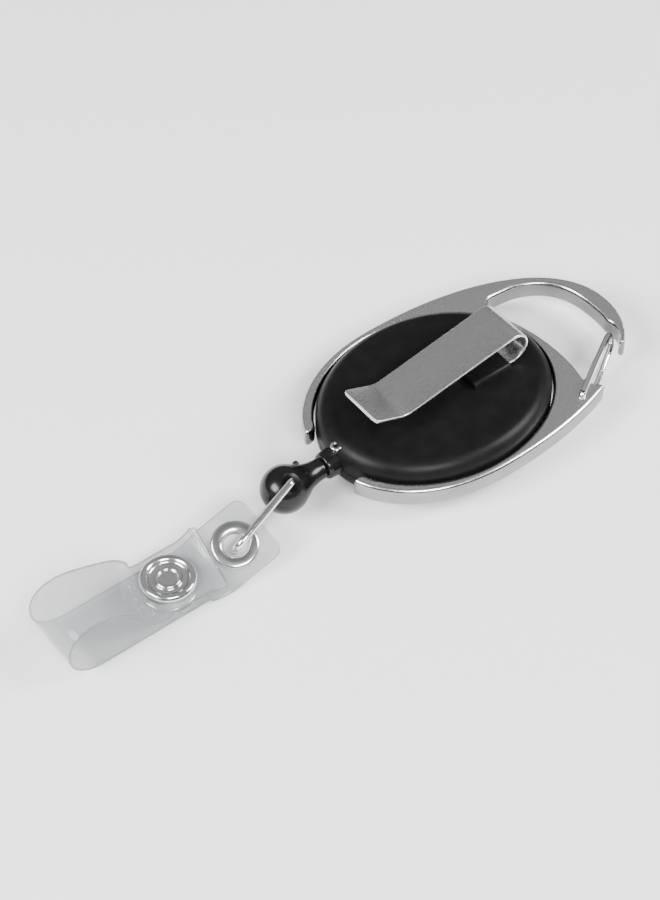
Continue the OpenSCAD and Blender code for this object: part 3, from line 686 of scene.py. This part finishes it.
# ---------------------------------------------------------------- snap
snap_place = Matrix.Translation((SNAP_X, STRAP_Y, 0))
base_lo, base_hi = BASE_Z - STRAP_T / 2, BASE_Z + STRAP_T / 2
flap_lo, flap_hi = FLAP_Z - STRAP_T / 2, FLAP_Z + STRAP_T / 2


def turned(name, profile, mat, body, node):
    pts = rounded(profile, closed=profile[0][0] > 0)
    revolve(name, [(p.x, p.y) for p in pts], mat, body, [node], snap_place)


R = SNAP_R
turned("snap_back", [(0, 0), (R - 1.2, 0, 0.4), (R - 0.2, 0.3, 0.4), (R, base_lo, 0.2), (1.4, base_lo),
                     (1.4, base_hi), (0, base_hi)], NICKEL, "strap", "snap_post")
turned("snap_stud_disc", [(0, base_hi), (R - 0.15, base_hi, 0.1), (R, base_hi + 0.3, 0.2),
                          (R - 0.5, base_hi + 0.6, 0.3), (1.8, base_hi + 0.55, 0.2),
                          (1.7, base_hi + 0.9, 0.2), (1.9, base_hi + 1.3, 0.3),
                          (1.6, flap_lo - 0.1, 0.2), (0, flap_lo - 0.1)], NICKEL, "strap", "snap_stud")
turned("snap_socket_disc", [(2.1, base_hi + 0.95), (R - 0.9, base_hi + 0.9, 0.3),
                            (R - 0.2, base_hi + 1.3, 0.3), (R - 0.2, flap_lo), (2.1, flap_lo)],
       NICKEL, "flap", "snap_socket")
turned("snap_cap_disc", [(0, flap_lo + 0.3), (2.1, flap_lo + 0.3), (2.1, flap_lo), (2.8, flap_lo),
                         (2.8, flap_hi), (R - 0.1, flap_hi, 0.1), (R, flap_hi + 0.5, 0.3),
                         (R - 0.45, flap_hi + 1.25, 0.55), (R - 1.25, flap_hi + 1.15, 0.5),
                         (R - 1.8, flap_hi + 0.38, 0.3), (2.6, flap_hi + 0.36, 0.2),
                         (2.25, flap_hi + 0.9, 0.2), (1.8, flap_hi + 0.9, 0.15), (1.62, flap_hi + 0.6, 0.12),
                         (0, flap_hi + 0.6)], NICKEL, "flap", "snap_cap")

# ---------------------------------------------------------------- CAD nodes that show as they are
for node, mat in {"label_disc": LABEL, "centre_post": STEEL, "mainspring": SPRING, "cord_lead": CORD,
                  "spool": ACETAL, "spool_cap": GREY_CAP, "cord_winding": CORD, "cord_knot": CORD}.items():
    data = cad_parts[node].data
    data.materials.clear()
    data.materials.append(mat)
    shade(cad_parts[node])

# ---------------------------------------------------------------- floor, light, camera
FLOOR = finish("pale_floor", grey(0.90), grey(0.92), (0.85, 0.9), 0.0, 2)
FLOOR_HALF, FLOOR_DROP = 4000, 0.00002
floor_corners = [(FLOOR_HALF * x, FLOOR_HALF * y, 0) for x, y in ((-1, -1), (1, -1), (1, 1), (-1, 1))]
floor = mesh("floor", floor_corners, [(0, 1, 2, 3)], FLOOR)
floor.location.z = -FLOOR_DROP


def area_light(name, at, target, width, height, watts):
    light = bpy.data.lights.new(name, "AREA")
    light.shape = "RECTANGLE"
    light.size, light.size_y = width, height
    light.energy = watts
    obj = bpy.data.objects.new(name, light)
    obj.location = at
    obj.rotation_euler = (Vector(at) - Vector(target)).to_track_quat("Z", "Y").to_euler()
    bpy.context.scene.collection.objects.link(obj)


area_light("left", (-0.75, 0.1, 0.55), (0, 0, 0), 0.5, 0.35, 16)
area_light("right", (0.65, -0.45, 0.6), (0, 0, 0), 0.35, 0.5, 14)
area_light("behind_camera", (-0.3, -0.75, 0.75), (0, 0, 0), 0.5, 0.3, 14)
world = bpy.data.worlds.new("studio")
bpy.context.scene.world = world
world.use_nodes = True
tree = world.node_tree
sky = tree.nodes["Background"]
where = tree.nodes.new("ShaderNodeTexCoord")
split = tree.nodes.new("ShaderNodeSeparateXYZ")
band = tree.nodes.new("ShaderNodeValToRGB")
stops = band.color_ramp.elements
stops[0].position, stops[0].color = 0.0, (0.04, 0.04, 0.04, 1)
stops[1].position, stops[1].color = 1.0, (0.3, 0.3, 0.3, 1)
for at, level in ((0.12, 0.08), (0.35, 0.5), (0.85, 0.55)):
    stop = stops.new(at)
    stop.color = (level, level, level, 1)
tree.links.new(where.outputs["Generated"], split.inputs["Vector"])
tree.links.new(split.outputs["Z"], band.inputs["Fac"])
tree.links.new(band.outputs["Color"], sky.inputs["Color"])
sky.inputs["Strength"].default_value = 0.7

data = bpy.data.cameras.new("camera")
data.sensor_width = SENSOR
data.lens = LENS
data.clip_start = 0.01
camera = bpy.data.objects.new("camera", data)
axes = Matrix((CAMERA_RIGHT, CAMERA_UP, CAMERA_BACK)).transposed().to_4x4()
camera.matrix_world = Matrix.Translation(Vector(CAMERA_AT) * MM) @ axes
bpy.context.scene.collection.objects.link(camera)
bpy.context.scene.camera = camera
